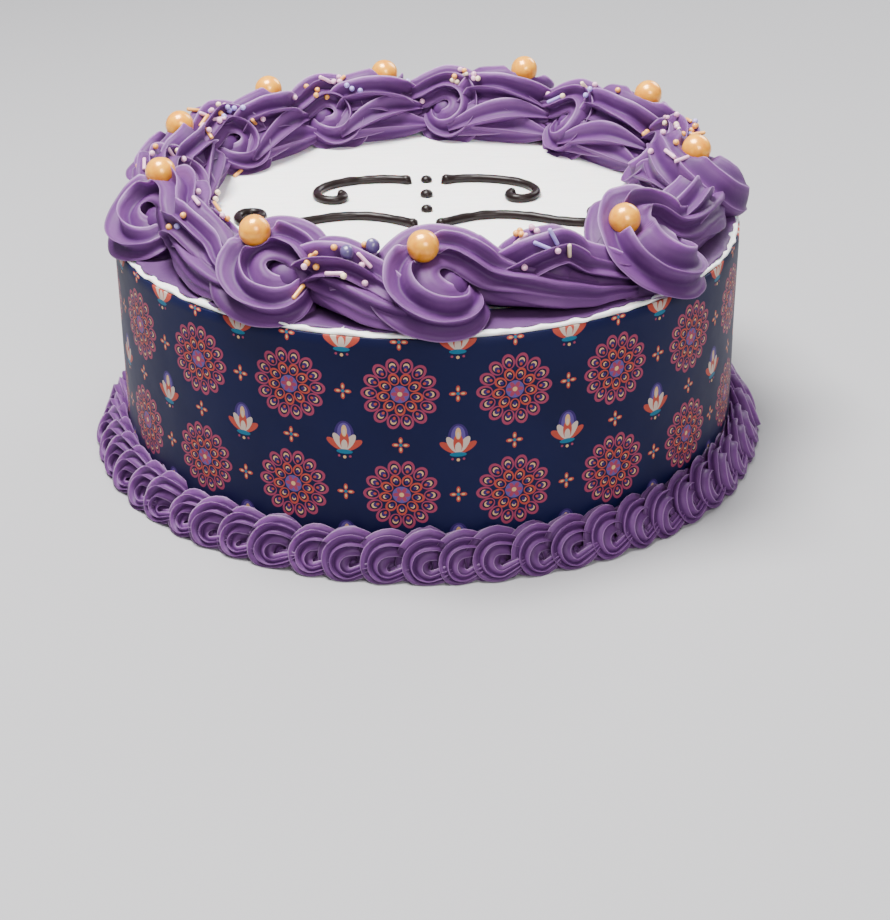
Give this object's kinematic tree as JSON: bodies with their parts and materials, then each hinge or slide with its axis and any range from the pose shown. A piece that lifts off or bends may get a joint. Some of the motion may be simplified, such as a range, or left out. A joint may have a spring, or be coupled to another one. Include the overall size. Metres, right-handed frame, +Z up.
{
  "type": "celebration cake",
  "caption": "Round iced cake with a patterned wrap, a piped ring of swirls topped with gold pearls, chocolate scrollwork on the top and a shell border at the foot.",
  "frame": {"origin": "centre of the cake's underside", "axes": "+Z up through the cake, -Y towards the front of the picture"},
  "size_m": [0.2275, 0.2274, 0.1047],
  "materials": {
    "white_icing": "smooth buttercream scraped flat, soft sheen",
    "printed_wrap": "printed icing sheet, soft sheen",
    "purple_icing": "piped buttercream, soft sheen",
    "gold_pearl": "pearlescent sugar",
    "chocolate": "piped dark icing, soft gloss"
  },
  "bodies": {
    "root": {"cake_body": "white_icing", "wrap": "printed_wrap", "shell_border": "purple_icing", "swirl_01": "purple_icing", "swirl_02": "purple_icing", "swirl_03": "purple_icing", "swirl_04": "purple_icing", "swirl_05": "purple_icing", "swirl_06": "purple_icing", "swirl_07": "purple_icing", "swirl_08": "purple_icing", "swirl_09": "purple_icing", "swirl_10": "purple_icing", "pearl_01": "gold_pearl", "pearl_02": "gold_pearl", "pearl_03": "gold_pearl", "pearl_04": "gold_pearl", "pearl_05": "gold_pearl", "pearl_06": "gold_pearl", "pearl_07": "gold_pearl", "pearl_08": "gold_pearl", "pearl_09": "gold_pearl", "pearl_10": "gold_pearl", "scroll_left": "chocolate", "scroll_right": "chocolate", "scroll_top_left": "chocolate", "scroll_top_right": "chocolate", "dot_top": "chocolate", "dot_middle": "chocolate", "dot_low": "chocolate"}
  },
  "joints": []
}
